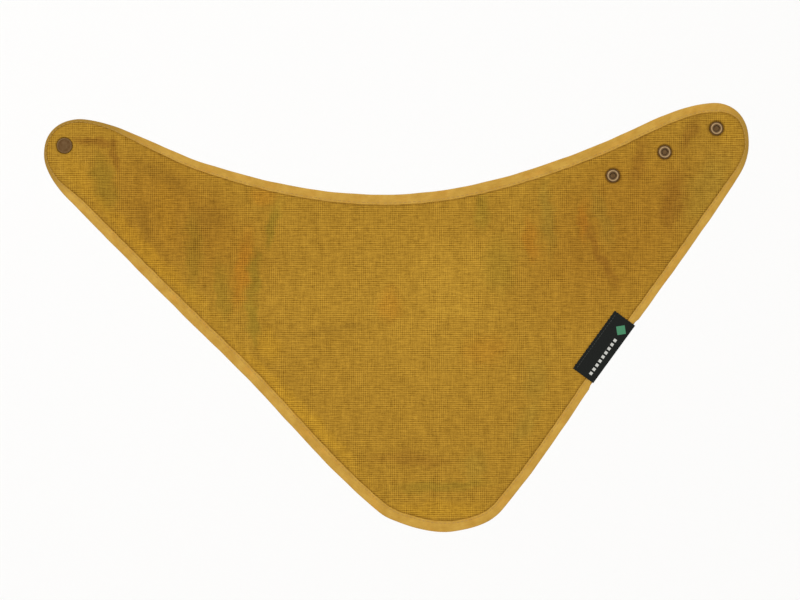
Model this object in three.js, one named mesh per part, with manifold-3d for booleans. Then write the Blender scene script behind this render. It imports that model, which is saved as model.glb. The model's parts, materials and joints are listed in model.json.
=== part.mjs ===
// A velour bandana bib for a baby, lying face up on a table: +X to the right, +Y towards the neckline,
// +Z out of the front face. Three fabric layers are held round their whole edge by a folded binding that
// two threads sew down. One wing ends in a press stud, and the other carries a row of three sockets.
// Each wing bends along two lines, so the bib is five stiff panels with four hinges at the back face.
import * as THREE from "three";
import { mergeVertices } from "three/addons/utils/BufferGeometryUtils.js";
import Module from "manifold-3d";

const wasm = await Module();
wasm.setup();

// ---- Driving dimensions, in millimetres and degrees ----

// The cut outline, counter-clockwise from the middle of the neckline. Each anchor is [x, y, heading,
// handle length as a share of the distance to the next anchor].
const OUTLINE = [
  [-8, 72.5, 180, 0.34], // middle of the neckline
  [-116, 92, 162, 0.28], // left shoulder
  [-185, 117, 176, 0.42], // top of the left tip
  [-208, 96, 272, 0.33], // end of the left tip
  [-190.5, 66.5, 314.5, 0.355], // where the left edge turns straight
  [-100, -24, 316, 0.34], // middle of the left edge
  [-9.5, -115.5, 321, 0.25], // left of the bottom point
  [24, -126.5, 355, 0.3], // bottom point
  [62, -114, 50, 0.375], // right of the bottom point
  [126.5, -24, 54.5, 0.34], // middle of the right edge
  [201.5, 82.5, 57, 0.45], // end of the right tip
  [189.5, 126.5, 175, 0.27], // top of the right tip
  [121.5, 103, 202, 0.34], // right shoulder
];
const TURN_PER_STEP = 10; // degrees of heading that one straight step may take
const LONGEST_STEP = 28;

// Hinge lines: where the line crosses y = HINGE_Y, and its lean. The hem end leans away from the middle.
const HINGE_Y = 90;
const HINGES = {
  leftShoulder: { x: -64.75, lean: 5.87, side: -1 },
  leftTip: { x: -126.75, lean: 25.87, side: -1 },
  rightShoulder: { x: 44, lean: 8, side: 1 },
  rightTip: { x: 104, lean: 28, side: 1 },
};
const HINGE_GAP = 0.3;
// Cutting solids reach past the bib on every side.
const PAST_EDGE = 150;
const PAST_WING = 260;
const UNDER = -3;
const OVER = 6;
const FRONT_OPENING = 23.5; // each side of a hinge slopes back this far, so a wing can lift to the front

// Heights of the fabric stack, from the table to the pile of the front face.
const BACK_PANEL = { low: 0, high: 1.2, tongueLow: 0.9 };
const CORE = { low: 1.27, high: 1.93 };
const FRONT_PANEL = { low: 2, high: 3, tongueHigh: 2.3 };
const BINDING = { low: 0.45, high: 2.75, leaf: 0.4, width: 6.5 };
const TONGUE_INSET = 0.7; // the layers stop this far inside the outline, within the binding's fold
const PANEL_INSET = BINDING.width + 0.3; // the full pile starts here
const THREAD = { inset: 5.3, width: 0.4, thickness: 0.12 };
const BOBBIN_THREAD_Z = 0.3;
const NEEDLE_THREAD_Z = 2.78;

// Press-stud parts. Radii and heights are those of the turned parts, on the fabric stack's heights.
const SIDES = 20;
const LEFT_SNAP = [-195.8, 101.4];
const FIRST_SOCKET = [127.7, 83.7];
const SOCKET_PITCH = 33.6;
const SOCKET_ROW_ANGLE = 24.5;
const SOCKET_NAMES = ["inner", "middle", "outer"];
const POST_RADIUS = 0.6;
const STUD_END_RADIUS = 1.4;
const STUD_DROP = 1.3; // how far the stud stands out of the back face
const CAP_RADIUS = 4.5;
const SOCKET_BASE_RADIUS = 4;
const COUNTERBORE_CLEARANCE = 0.3;
const FRONT_COUNTERBORE_LOW = 2.35;
const BACK_COUNTERBORE_HIGH = 0.7;
const SOCKET_HOLE_RADIUS = 2.8;
const CAP_HOLE_RADIUS = 1.6;

// The woven label, folded over the hem of the right wing.
const LABEL = { x: 129.12, y: -22.27, heading: 53.9, length: 42, depth: 15, thickness: 0.3 };
const LABEL_TOP = 3.4;
const LABEL_SEAM = { inset: 0.8, width: 0.4, length: 38, gap: 0.03, thickness: 0.12 };
const LABEL_CLEARANCE = 0.2;

const MATERIALS = {
  velour: new THREE.MeshStandardMaterial({ color: 0xa37628, roughness: 0.95, metalness: 0 }),
  core: new THREE.MeshStandardMaterial({ color: 0xd9d2c0, roughness: 1, metalness: 0 }),
  backing: new THREE.MeshStandardMaterial({ color: 0x9a6f27, roughness: 0.95, metalness: 0 }),
  binding: new THREE.MeshStandardMaterial({ color: 0xc69c42, roughness: 0.8, metalness: 0 }),
  thread: new THREE.MeshStandardMaterial({ color: 0xcda54c, roughness: 0.7, metalness: 0 }),
  brass: new THREE.MeshStandardMaterial({ color: 0x70512e, roughness: 0.45, metalness: 1 }),
  spring: new THREE.MeshStandardMaterial({ color: 0xa88d6a, roughness: 0.35, metalness: 1 }),
  label: new THREE.MeshStandardMaterial({ color: 0x1e201e, roughness: 0.85, metalness: 0 }),
  labelThread: new THREE.MeshStandardMaterial({ color: 0x242624, roughness: 0.7, metalness: 0 }),
};

// ---- The outline as straight steps ----

const radians = THREE.MathUtils.degToRad;

function directionOf(heading) {
  return new THREE.Vector2(Math.cos(radians(heading)), Math.sin(radians(heading)));
}

function turnBetween(fromHeading, toHeading) {
  return Math.abs(((toHeading - fromHeading + 540) % 360) - 180);
}

// Points of the outline with their inward normals.
function outlineSteps() {
  const steps = [];
  OUTLINE.forEach(([x, y, heading, handle], i) => {
    const [nextX, nextY, nextHeading] = OUTLINE[(i + 1) % OUTLINE.length];
    const start = new THREE.Vector2(x, y);
    const end = new THREE.Vector2(nextX, nextY);
    const chord = start.distanceTo(end);
    const curve = new THREE.CubicBezierCurve(
      start,
      start.clone().addScaledVector(directionOf(heading), handle * chord),
      end.clone().addScaledVector(directionOf(nextHeading), -handle * chord),
      end,
    );
    const byTurn = Math.ceil(turnBetween(heading, nextHeading) / TURN_PER_STEP);
    const byLength = Math.ceil(chord / LONGEST_STEP);
    const count = Math.max(3, byTurn, byLength);
    for (let k = 0; k < count; k += 1) {
      const tangent = curve.getTangent(k / count);
      steps.push({ point: curve.getPoint(k / count), inward: new THREE.Vector2(-tangent.y, tangent.x) });
    }
  });
  return steps;
}

const STEPS = outlineSteps();

function ringAt(inset, z) {
  return STEPS.map(({ point, inward }) => {
    const moved = point.clone().addScaledVector(inward, inset);
    return new THREE.Vector3(moved.x, moved.y, z);
  });
}

// ---- Solids ----

// A closed mesh from rings of points that follow each other, with flat ends or joined end to end.
function loft(rings, joined) {
  const count = rings[0].length;
  const positions = rings.flat().flatMap((p) => [p.x, p.y, p.z]);
  const triangles = [];
  const pairs = joined ? rings.length : rings.length - 1;
  for (let r = 0; r < pairs; r += 1) {
    const below = r * count;
    const above = ((r + 1) % rings.length) * count;
    for (let i = 0; i < count; i += 1) {
      const j = (i + 1) % count;
      triangles.push(below + i, below + j, above + j);
      triangles.push(below + i, above + j, above + i);
    }
  }
  if (!joined) {
    const last = (rings.length - 1) * count;
    const bottom = THREE.ShapeUtils.triangulateShape(rings[0], []);
    const top = THREE.ShapeUtils.triangulateShape(rings[rings.length - 1], []);
    bottom.forEach(([a, b, c]) => triangles.push(a, c, b));
    top.forEach(([a, b, c]) => triangles.push(last + a, last + b, last + c));
  }
  const geometry = new THREE.BufferGeometry();
  geometry.setAttribute("position", new THREE.Float32BufferAttribute(positions, 3));
  geometry.setIndex(triangles);
  return geometry;
}

function solidOf(geometry) {
  const bare = geometry.clone();
  bare.deleteAttribute("normal");
  bare.deleteAttribute("uv");
  const merged = mergeVertices(bare, 1e-4);
  return new wasm.Manifold(
    new wasm.Mesh({
      numProp: 3,
      vertProperties: new Float32Array(merged.attributes.position.array),
      triVerts: new Uint32Array(merged.index.array),
    }),
  );
}

// A prism round the whole outline, from [inset, height] pairs that run up its side.
function panelSolid(profile) {
  return solidOf(loft(profile.map(([inset, z]) => ringAt(inset, z)), false));
}

// A strip round the whole outline with a closed cross-section of [inset, height] pairs.
function stripSolid(section) {
  return solidOf(loft(section.map(([inset, z]) => ringAt(inset, z)), true));
}

// A turned part about a vertical axis at [x, y], from [radius, height] pairs that run upwards outside.
function turnedSolid(profile, [x, y]) {
  const lathe = new THREE.LatheGeometry(profile.map(([r, z]) => new THREE.Vector2(r, z)), SIDES);
  lathe.rotateX(Math.PI / 2);
  lathe.translate(x, y, 0);
  return solidOf(lathe);
}

function holeAt(place, radius, low, high) {
  return turnedSolid([[0, low], [radius, low], [radius, high], [0, high]], place);
}

function geometryOf(solid) {
  const mesh = solid.getMesh();
  const indexed = new THREE.BufferGeometry();
  const positions = [];
  for (let i = 0; i < mesh.numVert; i += 1) {
    positions.push(...mesh.vertProperties.subarray(i * mesh.numProp, i * mesh.numProp + 3));
  }
  indexed.setAttribute("position", new THREE.Float32BufferAttribute(positions, 3));
  indexed.setIndex([...mesh.triVerts]);
  const faceted = indexed.toNonIndexed();
  faceted.computeVertexNormals();
  return faceted;
}

// ---- The five stiff panels ----

// The unit vector up a hinge line, from the hem to the neckline.
function hingeDirection({ lean, side }) {
  return new THREE.Vector2(-side * Math.sin(radians(lean)), Math.cos(radians(lean)));
}

// The two ends of a hinge line, past the hem and past the neckline, moved sideways by a distance.
function hingeEnds(hinge, shift) {
  const slope = -hinge.side * Math.tan(radians(hinge.lean));
  const middle = hinge.x + shift / Math.cos(radians(hinge.lean));
  return [-PAST_EDGE, PAST_EDGE].map((y) => new THREE.Vector2(middle + slope * (y - HINGE_Y), y));
}

function wingEnd(side) {
  return [-PAST_EDGE, PAST_EDGE].map((y) => new THREE.Vector2(side * PAST_WING, y));
}

// The space between two hinge lines, or between one and the end of the wing. Its sides are upright
// below the hinge axes and slope open above them.
function bayBetween(leftHinge, rightHinge) {
  const halfGap = HINGE_GAP / 2;
  const levels = [
    [UNDER, halfGap],
    [0, halfGap],
    [OVER, halfGap + OVER * Math.tan(radians(FRONT_OPENING))],
  ];
  const rings = levels.map(([z, shift]) => {
    const leftLine = leftHinge ? hingeEnds(leftHinge, shift) : wingEnd(-1);
    const rightLine = rightHinge ? hingeEnds(rightHinge, -shift) : wingEnd(1);
    const corners = [leftLine[0], rightLine[0], rightLine[1], leftLine[1]];
    return corners.map((corner) => new THREE.Vector3(corner.x, corner.y, z));
  });
  return solidOf(loft(rings, false));
}

const BAYS = {
  left_tip: bayBetween(null, HINGES.leftTip),
  left_shoulder: bayBetween(HINGES.leftTip, HINGES.leftShoulder),
  center: bayBetween(HINGES.leftShoulder, HINGES.rightShoulder),
  right_shoulder: bayBetween(HINGES.rightShoulder, HINGES.rightTip),
  right_tip: bayBetween(HINGES.rightTip, null),
};

// The left tip lies on its stud, so it is raised a little about its hinge line.
function raisedOnStud() {
  const hinge = HINGES.leftTip;
  const up = hingeDirection(hinge);
  const outward = new THREE.Vector2(-up.y, up.x);
  const toStud = new THREE.Vector2(LEFT_SNAP[0] - hinge.x, LEFT_SNAP[1] - HINGE_Y).dot(outward);
  const angle = Math.atan2(STUD_DROP, toStud - STUD_END_RADIUS);
  const group = new THREE.Group();
  const pivot = new THREE.Vector3(hinge.x, HINGE_Y, 0);
  group.quaternion.setFromAxisAngle(new THREE.Vector3(up.x, up.y, 0), angle);
  group.position.copy(pivot).sub(pivot.clone().applyQuaternion(group.quaternion));
  return group;
}

const bib = new THREE.Group();
const leftTip = raisedOnStud();
bib.add(leftTip);

function addPiece(name, solid, material) {
  const mesh = new THREE.Mesh(geometryOf(solid), MATERIALS[material]);
  mesh.name = name;
  const parent = name.includes("left_tip") ? leftTip : bib;
  parent.add(mesh);
}

// ---- Where the snaps go ----

const rowDirection = directionOf(SOCKET_ROW_ANGLE);
const SOCKETS = SOCKET_NAMES.map((name, i) => ({
  name,
  place: [
    FIRST_SOCKET[0] + i * SOCKET_PITCH * rowDirection.x,
    FIRST_SOCKET[1] + i * SOCKET_PITCH * rowDirection.y,
  ],
}));

// Each snap's place, the hole that its neck or post needs, and the radius of its head on either face.
const SNAPS = [
  { place: LEFT_SNAP, hole: CAP_HOLE_RADIUS, front: CAP_RADIUS, back: CAP_RADIUS },
  ...SOCKETS.map(({ place }) => ({
    place,
    hole: SOCKET_HOLE_RADIUS,
    front: SOCKET_BASE_RADIUS,
    back: CAP_RADIUS,
  })),
];

// Drills a layer at every snap. The wider counterbore of a face lies between the heights low and high.
function withSnapHoles(solid, face, low, high) {
  return SNAPS.reduce((rest, snap) => {
    const drilled = rest.subtract(holeAt(snap.place, snap.hole, UNDER, OVER));
    if (!face) return drilled;
    return drilled.subtract(holeAt(snap.place, snap[face] + COUNTERBORE_CLEARANCE, low, high));
  }, solid);
}

// ---- The label over the hem ----

// In the label's own frame X is out of the bib, Y is up the hem, and the fold lies just outside it.
function labelBox(xLow, xHigh, halfLength, zLow, zHigh) {
  const box = new THREE.BoxGeometry(xHigh - xLow, 2 * halfLength, zHigh - zLow);
  box.translate((xLow + xHigh) / 2, 0, (zLow + zHigh) / 2);
  box.rotateZ(radians(LABEL.heading - 90));
  box.translate(LABEL.x, LABEL.y, 0);
  return solidOf(box);
}

function labelSolid() {
  const { depth, thickness, length } = LABEL;
  const whole = labelBox(-depth, 0, length / 2, 0, LABEL_TOP);
  const inside = labelBox(-depth - 1, -thickness, length, thickness, LABEL_TOP - thickness);
  return whole.subtract(inside);
}

// ---- Fabric layers, binding and threads, cut at the hinge lines ----

// A layer leaves one piece in each bay. A strip leaves two between hinges: one at the neckline, one at the hem.
function addCutPieces(prefix, whole, material) {
  Object.entries(BAYS).forEach(([bay, space]) => {
    const pieces = whole.intersect(space).decompose();
    if (pieces.length === 1) {
      addPiece(prefix + "_" + bay, pieces[0], material);
      return;
    }
    pieces.sort((a, b) => b.boundingBox().max[1] - a.boundingBox().max[1]);
    addPiece(prefix + "_neck_" + bay, pieces[0], material);
    addPiece(prefix + "_hem_" + bay, pieces[1], material);
  });
}

const labelRecess = labelBox(
  -LABEL.depth - LABEL_CLEARANCE,
  LABEL_CLEARANCE,
  LABEL.length / 2 + LABEL_CLEARANCE,
  UNDER,
  LABEL.thickness + 0.1,
);

const frontPanel = panelSolid([
  [TONGUE_INSET, FRONT_PANEL.low],
  [TONGUE_INSET, FRONT_PANEL.tongueHigh],
  [PANEL_INSET, FRONT_PANEL.tongueHigh],
  [PANEL_INSET, FRONT_PANEL.high],
]);
const core = panelSolid([
  [TONGUE_INSET, CORE.low],
  [TONGUE_INSET, CORE.high],
]);
const backPanel = panelSolid([
  [PANEL_INSET, BACK_PANEL.low],
  [PANEL_INSET, BACK_PANEL.tongueLow],
  [TONGUE_INSET, BACK_PANEL.tongueLow],
  [TONGUE_INSET, BACK_PANEL.high],
]);
addCutPieces("front_panel", withSnapHoles(frontPanel, "front", FRONT_COUNTERBORE_LOW, OVER), "velour");
addCutPieces("absorbent_core", withSnapHoles(core), "core");
addCutPieces(
  "back_panel",
  withSnapHoles(backPanel, "back", UNDER, BACK_COUNTERBORE_HIGH).subtract(labelRecess),
  "backing",
);

const slotLow = BINDING.low + BINDING.leaf;
const slotHigh = BINDING.high - BINDING.leaf;
const bindingSection = [
  [0, BINDING.low],
  [0, BINDING.high],
  [BINDING.width, BINDING.high],
  [BINDING.width, slotHigh],
  [BINDING.leaf, slotHigh],
  [BINDING.leaf, slotLow],
  [BINDING.width, slotLow],
  [BINDING.width, BINDING.low],
];
// The cap of the left snap bites a little into the inner edge of the binding.
const capRoom = holeAt(LEFT_SNAP, CAP_RADIUS + COUNTERBORE_CLEARANCE, UNDER, OVER);
addCutPieces("binding", stripSolid(bindingSection).subtract(capRoom), "binding");

function threadSection(low) {
  const near = THREAD.inset - THREAD.width / 2;
  const far = THREAD.inset + THREAD.width / 2;
  const high = low + THREAD.thickness;
  return [[near, low], [near, high], [far, high], [far, low]];
}
addCutPieces("needle_thread", stripSolid(threadSection(NEEDLE_THREAD_Z)), "thread");
addCutPieces("bobbin_thread", stripSolid(threadSection(BOBBIN_THREAD_Z)).subtract(labelRecess), "thread");

addPiece("woven_label", labelSolid(), "label");
const labelSeam = labelBox(
  LABEL_SEAM.inset - LABEL.depth,
  LABEL_SEAM.inset + LABEL_SEAM.width - LABEL.depth,
  LABEL_SEAM.length / 2,
  LABEL_TOP + LABEL_SEAM.gap,
  LABEL_TOP + LABEL_SEAM.gap + LABEL_SEAM.thickness,
);
addPiece("label_thread", labelSeam, "labelThread");

// ---- Snaps ----

// A cap is a flat round head with a post that passes through the fabric.
function capProfile(headLow, headHigh, postEnd) {
  const radius = CAP_RADIUS;
  const edge = 0.2;
  if (postEnd < headLow) {
    return [
      [0, postEnd],
      [POST_RADIUS, postEnd],
      [POST_RADIUS, headLow],
      [radius - edge, headLow],
      [radius, headLow + edge],
      [radius, headHigh - edge],
      [radius - edge, headHigh],
      [0, headHigh],
    ];
  }
  return [
    [0, headLow],
    [radius - edge, headLow],
    [radius, headLow + edge],
    [radius - edge, headHigh],
    [POST_RADIUS, headHigh],
    [POST_RADIUS, postEnd],
    [0, postEnd],
  ];
}

const STUD_PROFILE = [
  [0.9, -STUD_DROP],
  [STUD_END_RADIUS, -STUD_DROP],
  [1.75, -1.1],
  [1.75, -0.9],
  [1.2, -0.7],
  [1.2, 0.25],
  [4.2, 0.25],
  [4.2, 0.6],
  [0.9, 0.6],
  [0.9, -STUD_DROP],
];
const SOCKET_PROFILE = [
  [0.9, 1.5],
  [2.5, 1.5],
  [2.5, 2.45],
  [SOCKET_BASE_RADIUS, 2.45],
  [SOCKET_BASE_RADIUS, 2.8],
  [3.5, 2.8],
  [3.5, 3.2],
  [3.3, 3.35],
  [2.25, 3.35],
  [2.25, 3.2],
  [2.8, 3.2],
  [2.8, 2.8],
  [2.25, 2.8],
  [2.25, 1.9],
  [0.9, 1.9],
  [0.9, 1.5],
];

// The ring spring in a socket's groove, open at one side so that it can widen.
function springSolid(place) {
  const inner = 1.7;
  const outer = 2.6;
  const opening = radians(30);
  const ring = new THREE.Shape();
  ring.absarc(0, 0, outer, opening / 2, 2 * Math.PI - opening / 2, false);
  ring.absarc(0, 0, inner, 2 * Math.PI - opening / 2, opening / 2, true);
  ring.closePath();
  const geometry = new THREE.ExtrudeGeometry(ring, { depth: 0.2, bevelEnabled: false, curveSegments: 14 });
  geometry.translate(place[0], place[1], 2.9);
  return solidOf(geometry);
}

addPiece("snap_cap_left_tip", turnedSolid(capProfile(2.45, 3.1, -0.3), LEFT_SNAP), "brass");
addPiece("snap_stud_left_tip", turnedSolid(STUD_PROFILE, LEFT_SNAP), "brass");
SOCKETS.forEach(({ name, place }) => {
  addPiece("snap_socket_" + name, turnedSolid(SOCKET_PROFILE, place), "brass");
  addPiece("snap_spring_" + name, springSolid(place), "spring");
  addPiece("snap_back_cap_" + name, turnedSolid(capProfile(0, 0.5, 2.05), place), "brass");
});

export default bib;
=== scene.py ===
"""The looks of a velour bandana bib, laid out flat and face up over a pale floor.

Lengths are in millimetres until a mesh is made. The fabric layers, the binding and the stitches all
ride on one relief, the height of the cloth over the table, so that they never cut through each other.
Each layer is cut where the panels are stiff.
"""

import json
import math
from collections import namedtuple

import bpy
import numpy as np
from mathutils import Matrix, Vector
from mathutils.bvhtree import BVHTree
from mathutils.geometry import delaunay_2d_cdt

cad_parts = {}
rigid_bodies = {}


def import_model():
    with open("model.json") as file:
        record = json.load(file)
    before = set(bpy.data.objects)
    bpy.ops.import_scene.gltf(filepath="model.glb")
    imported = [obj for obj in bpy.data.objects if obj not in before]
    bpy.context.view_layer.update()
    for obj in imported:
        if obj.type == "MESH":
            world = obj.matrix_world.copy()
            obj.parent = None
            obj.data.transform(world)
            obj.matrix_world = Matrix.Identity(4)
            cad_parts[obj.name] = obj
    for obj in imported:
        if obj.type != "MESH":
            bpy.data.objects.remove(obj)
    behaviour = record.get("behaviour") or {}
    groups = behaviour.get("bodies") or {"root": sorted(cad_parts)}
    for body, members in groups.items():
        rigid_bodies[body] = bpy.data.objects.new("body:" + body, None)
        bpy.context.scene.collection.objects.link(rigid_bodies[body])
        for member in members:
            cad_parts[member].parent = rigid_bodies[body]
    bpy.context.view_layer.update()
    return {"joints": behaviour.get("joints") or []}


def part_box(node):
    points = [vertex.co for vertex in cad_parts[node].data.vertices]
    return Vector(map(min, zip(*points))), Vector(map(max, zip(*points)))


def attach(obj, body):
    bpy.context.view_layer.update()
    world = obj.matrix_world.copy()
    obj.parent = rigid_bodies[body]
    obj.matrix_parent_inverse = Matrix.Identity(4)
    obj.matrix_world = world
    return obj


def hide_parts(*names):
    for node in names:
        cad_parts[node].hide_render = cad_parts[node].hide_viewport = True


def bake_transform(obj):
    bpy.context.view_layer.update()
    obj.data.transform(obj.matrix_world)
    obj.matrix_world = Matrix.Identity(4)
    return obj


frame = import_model()

MM = 0.001

# ---- Driving dimensions ----

# The cut outline, counter-clockwise from the middle of the neckline. Each anchor is x, y, heading in
# degrees, and handle length as a share of the distance to the next anchor.
OUTLINE = [
    (-8, 72.5, 180, 0.34),  # middle of the neckline
    (-116, 92, 162, 0.28),  # left shoulder
    (-185, 117, 176, 0.42),  # top of the left tip
    (-208, 96, 272, 0.33),  # end of the left tip
    (-190.5, 66.5, 314.5, 0.355),  # where the left edge turns straight
    (-100, -24, 316, 0.34),  # middle of the left edge
    (-9.5, -115.5, 321, 0.25),  # left of the bottom point
    (24, -126.5, 355, 0.3),  # bottom point
    (62, -114, 50, 0.375),  # right of the bottom point
    (126.5, -24, 54.5, 0.34),  # middle of the right edge
    (201.5, 82.5, 57, 0.45),  # end of the right tip
    (189.5, 126.5, 175, 0.27),  # top of the right tip
    (121.5, 103, 202, 0.34),  # right shoulder
]

# The visible width of the binding's front leaf at places on the edge. It rolls under at the wing ends.
BINDING_WIDTHS = [
    ((-8, 72.5), 6.1),
    ((-80, 83), 5.6),
    ((-116, 92), 5.2),
    ((-150, 104), 4.2),
    ((-170, 112), 2.4),
    ((-200, 111), 1.6),
    ((-208, 96), 1.6),
    ((-202, 80), 3.0),
    ((-190.5, 66.5), 5.6),
    ((-100, -24), 6.5),
    ((-9.5, -115.5), 6.2),
    ((24, -126.5), 6.5),
    ((62, -114), 5.8),
    ((126.5, -24), 5.0),
    ((185, 60), 4.9),
    ((201.5, 82.5), 4.0),
    ((207, 100), 2.4),
    ((203, 118), 3.0),
    ((189.5, 126.5), 5.4),
    ((121.5, 103), 6.4),
    ((60, 80), 6.3),
]

# Heights of the fabric stack over its resting plane.
BACK_TOP = 1.2
BACK_TONGUE = 0.9
CORE_LOW, CORE_HIGH = 1.27, 1.93
FRONT_LOW, FRONT_TONGUE, FRONT_TOP = 2.0, 2.3, 3.0
TONGUE_INSET = 0.7
BINDING_WIDTH = 6.5
BINDING_LOW, BINDING_HIGH = 0.45, 2.75
STITCH_INSET = 5.3
STITCH_PITCH = 2.8
STITCH_LENGTH = 2.35
STITCH_RADIUS = 0.2
STITCH_FLATNESS = 0.62  # of a stitch's section, height to width
STITCH_DIP = 0.3

# Turned snap parts.
SNAP_SEGMENTS = 96
CAP_RADIUS = 4.5
SOCKET_BASE_RADIUS = 4.0
STUD_DROP = 1.3
STUD_END_RADIUS = 1.4

# The folded label.
LABEL_PLACE = (129.12, -22.27)
LABEL_HEADING = 53.9
LABEL_LENGTH = 42
LABEL_DEPTH = 15
LABEL_SETBACK = 0.75  # how far inside the cut outline the label's fold lies, with the binding squeezed in it
LABEL_SEAM = 14.0  # how far inside the cut outline the label's row of stitches runs
LABEL_TOP = 3.42  # height of the front leaf


def smooth(t):
    """0 up to t = 0, 1 from t = 1, and an even slope between."""
    t = np.clip(t, 0, 1)
    return t * t * (3 - 2 * t)


def mix(a, b, share):
    return a * (1 - share) + b * share


def direction(heading):
    return np.array([math.cos(math.radians(heading)), math.sin(math.radians(heading))])


LABEL_ALONG = direction(LABEL_HEADING)
LABEL_INWARD = direction(LABEL_HEADING + 90)


# ---- The outline ----


def bezier_outline(per_stretch=200):
    """Points and tangents round the outline, one cubic curve between each two anchors."""
    t = np.linspace(0, 1, per_stretch, endpoint=False)[:, None]
    points, tangents = [], []
    for i, (x, y, heading, handle) in enumerate(OUTLINE):
        next_x, next_y, next_heading, _ = OUTLINE[(i + 1) % len(OUTLINE)]
        a = np.array([x, y])
        d = np.array([next_x, next_y])
        reach = handle * np.linalg.norm(d - a)
        b = a + reach * direction(heading)
        c = d - reach * direction(next_heading)
        u = 1 - t
        points.append(u**3 * a + 3 * u * u * t * b + 3 * u * t * t * c + t**3 * d)
        tangents.append(u * u * (b - a) + 2 * u * t * (c - b) + t * t * (d - c))
    return np.vstack(points), np.vstack(tangents)


class Outline:
    """The outline by distance travelled along it, counter-clockwise from the middle of the neckline."""

    CHUNK = 2000  # points measured at once, to spare memory

    def __init__(self):
        points, tangents = bezier_outline()
        self.points = np.vstack([points, points[:1]])
        self.tangents = np.vstack([tangents, tangents[:1]])
        self.tangents /= np.linalg.norm(self.tangents, axis=1)[:, None]
        steps = np.linalg.norm(np.diff(self.points, axis=0), axis=1)
        self.travelled = np.concatenate([[0], np.cumsum(steps)])
        self.length = self.travelled[-1]
        self.marks = np.arange(0, self.length, 1.0)
        self.mark_points, self.mark_inward = self.at(self.marks)

    def at(self, s):
        """Points and inward normals at the distances s."""
        s = np.asarray(s) % self.length
        point = np.stack([np.interp(s, self.travelled, self.points[:, k]) for k in (0, 1)], axis=-1)
        along = np.stack([np.interp(s, self.travelled, self.tangents[:, k]) for k in (0, 1)], axis=-1)
        along /= np.linalg.norm(along, axis=-1)[..., None]
        return point, np.stack([-along[..., 1], along[..., 0]], axis=-1)

    def from_edge(self, xy):
        """For each point, how far it lies inside the outline, and the distance along to the nearest place."""
        inset, along = np.empty(len(xy)), np.empty(len(xy))
        for start in range(0, len(xy), self.CHUNK):
            chunk = slice(start, start + self.CHUNK)
            part = xy[chunk]
            offsets = part[:, None, :] - self.mark_points[None, :, :]
            nearest = np.argmin((offsets**2).sum(axis=2), axis=1)
            offset = part - self.mark_points[nearest]
            inward = self.mark_inward[nearest]
            inset[chunk] = (offset * inward).sum(axis=1)
            forward = offset[:, 0] * inward[:, 1] - offset[:, 1] * inward[:, 0]
            along[chunk] = self.marks[nearest] + forward
        return inset, along % self.length


outline = Outline()

# ---- Fold lines and the cuts between the pieces ----

Line = namedtuple("Line", "point along across")


def fold_line(joint):
    """A fold's line in plan. Its across direction points to the end of the wing."""
    point = np.array(joint["pos_m"][:2]) / MM
    along = np.array(joint["axis"][:2])
    along = along / np.linalg.norm(along) * np.sign(along[1])
    across = np.array([along[1], -along[0]]) * np.sign(point[0])
    return Line(point, along, across)


JOINTS = {joint["name"]: joint for joint in frame["joints"]}
FOLDS = {name: fold_line(joint) for name, joint in JOINTS.items()}


def line_between(first, second, share):
    """The line a share of the way from one fold to another. Its across direction is towards +X."""
    along = mix(first.along, second.along, share)
    along /= np.linalg.norm(along)
    return Line(mix(first.point, second.point, share), along, np.array([along[1], -along[0]]))


CUTS = [
    line_between(FOLDS["left_tip_fold"], FOLDS["left_shoulder_fold"], 0.5),
    line_between(FOLDS["left_shoulder_fold"], FOLDS["right_shoulder_fold"], 0.5),
    line_between(FOLDS["right_shoulder_fold"], FOLDS["right_tip_fold"], 0.62),
]
REGIONS = [
    ("left_wing", "left_tip_fold"),
    ("left_chest", "left_shoulder_fold"),
    ("right_chest", "right_shoulder_fold"),
    ("right_wing", "right_tip_fold"),
]


def across_line(line, xy):
    return (xy - line.point) @ line.across


def region_of(xy):
    """The index of the region that each point lies in, from the left wing to the right one."""
    return sum((across_line(cut, xy) > 0).astype(int) for cut in CUTS)


# ---- Snap places, from the frame ----


def centre_of(node):
    low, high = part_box(node)
    return (np.array(low) + np.array(high))[:2] / (2 * MM)


SOCKET_NAMES = ["inner", "middle", "outer"]
SOCKET_PLACES = [centre_of("snap_socket_" + name) for name in SOCKET_NAMES]
left_fold = FOLDS["left_tip_fold"]
# The stud's centre moves by less than 0.05 mm as the tip is raised, so its box gives its place.
STUD_PLACE = centre_of("snap_stud_left_tip")
stud_reach = across_line(left_fold, STUD_PLACE)
TIP_TILT = math.atan2(STUD_DROP, stud_reach - STUD_END_RADIUS)
STUD_HOLE, SOCKET_HOLE = 1.65, 2.8  # radii
SNAPS = [(STUD_PLACE, STUD_HOLE)] + [(place, SOCKET_HOLE) for place in SOCKET_PLACES]

# ---- The relief that every layer rides on ----


def tip_rise(xy):
    """The left tip lies on its stud, so the cloth climbs evenly from its fold."""
    soft = 10
    beyond = across_line(left_fold, xy)
    eased = np.clip(beyond + soft, 0, 2 * soft) ** 2 / (4 * soft)
    return math.tan(TIP_TILT) * np.where(beyond > soft, beyond, eased)


def loose_waves(xy):
    """Long shallow waves of a soft cloth on a table."""
    x, y = xy[:, 0], xy[:, 1]
    wave = np.sin(0.061 * x + 0.023 * y + 0.6) * np.sin(0.017 * x - 0.052 * y + 1.1)
    wave += 0.6 * np.sin(0.034 * x + 0.083 * y) * np.sin(0.095 * x - 0.02 * y + 2.0)
    return 0.35 * (wave + 1.6) / 1.6


def hexagonal_grid(spacing):
    low, high = outline.points.min(axis=0), outline.points.max(axis=0)
    rows = np.arange(low[1], high[1], spacing * math.sqrt(3) / 2)
    columns = np.arange(low[0], high[0], spacing)
    points = []
    for i, y in enumerate(rows):
        shift = (i % 2) * spacing / 2
        points.append(np.column_stack([columns + shift, np.full(len(columns), y)]))
    return np.vstack(points)


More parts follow.
